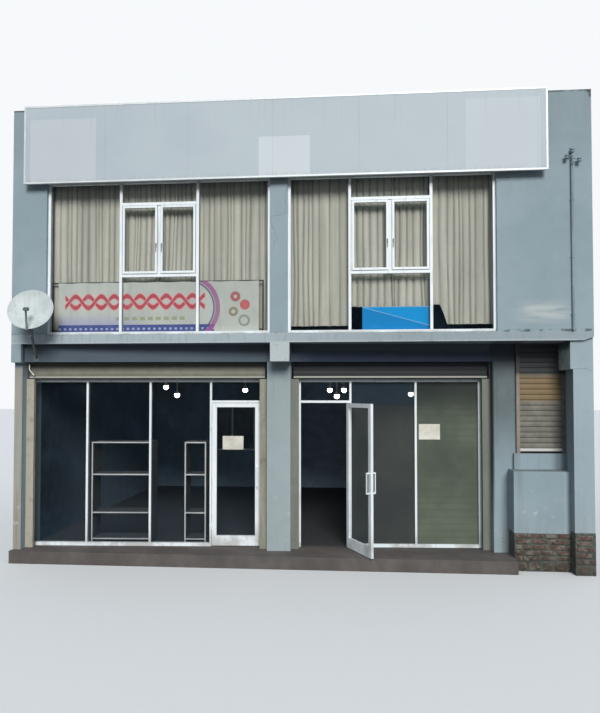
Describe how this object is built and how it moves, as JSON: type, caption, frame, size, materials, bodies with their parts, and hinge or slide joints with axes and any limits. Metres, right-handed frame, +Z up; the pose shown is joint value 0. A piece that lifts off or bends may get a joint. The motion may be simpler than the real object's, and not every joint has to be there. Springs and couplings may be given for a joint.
{
  "type": "corner shop building",
  "caption": "Corner shop building with a jettied upper floor, glazed shopfronts, a shuttered hatch, a bare sign board and a satellite dish.",
  "frame": {"origin": "middle of the plot at pavement level, on the underside of the shop floor", "axes": "+X along the front from left to right as seen from the street, +Y from the street to the rear, +Z up"},
  "size_m": [8.32, 7.3476, 6.7],
  "materials": {
    "painted_masonry": "painted plaster, weathered",
    "concrete": "worn cement",
    "brick": "rough brick and rubble",
    "roof_sheet": "weathered corrugated sheet",
    "timber": "sawn, grey with age",
    "gutter_plastic": "chalky",
    "sign_sheet": "faded, satin",
    "trim_metal": "dull",
    "white_aluminium": "satin white",
    "glass": "clear, dusty",
    "dark_steel": "painted, chipped",
    "curtain_cloth": "pleated cloth",
    "banner_cloth": "faded printed cloth",
    "blue_sheet": "printed sheet",
    "shutter_metal": "worn paint",
    "hatch_metal": "worn paint, dusty",
    "dish_metal": "chalky white",
    "grey_steel": "weathered",
    "lamp_plastic": "plain",
    "shelf_metal": "plain"
  },
  "bodies": {
    "building": {"shop_floor": "concrete", "brick_footing": "brick", "left_wall": "painted_masonry", "right_wall": "painted_masonry", "rear_wall_lower": "painted_masonry", "rear_wall_upper": "painted_masonry", "centre_column": "painted_masonry", "alcove_pier": "painted_masonry", "corner_pier": "painted_masonry", "dwarf_wall": "painted_masonry", "shopfront_beam": "painted_masonry", "ledge_blocks": "painted_masonry", "first_floor_slab": "painted_masonry", "front_piers": "painted_masonry", "parapet": "painted_masonry", "roof_sheets": "roof_sheet", "roof_frame": "timber", "rear_gutter": "gutter_plastic", "sign_board": "sign_sheet", "sign_frame": "trim_metal", "window_frames": "white_aluminium", "casement_sashes": "white_aluminium", "upper_glass": "glass", "curtain_rods": "dark_steel", "curtains": "curtain_cloth", "guard_rail": "dark_steel", "banner": "banner_cloth", "blue_panel": "blue_sheet", "shopfront_left": "white_aluminium", "shopfront_right": "white_aluminium", "shopfront_glass": "glass", "shutter_guides": "shutter_metal", "roller_shutters": "shutter_metal", "hatch_shutter": "hatch_metal", "satellite_dish": "dish_metal", "dish_mount": "grey_steel", "conduit": "grey_steel", "hanging_lamps": "lamp_plastic", "display_shelves": "shelf_metal", "plain_windows": "white_aluminium", "plain_window_glass": "glass"},
    "left_door": {"door_left": "white_aluminium", "door_left_glass": "glass"},
    "right_door": {"door_right": "white_aluminium", "door_right_glass": "glass"}
  },
  "joints": [
    {"name": "left_door_hinge", "type": "hinge", "parent": "building", "child": "left_door", "pos_m": [-1.25874, -2.75991, 1.2], "axis": [0, 0, 1], "range_deg": [-100, 0]},
    {"name": "right_door_hinge", "type": "hinge", "parent": "building", "child": "right_door", "pos_m": [0.81941, -2.651, 1.2], "axis": [0, 0, 1], "range_deg": [-115, 15]}
  ]
}
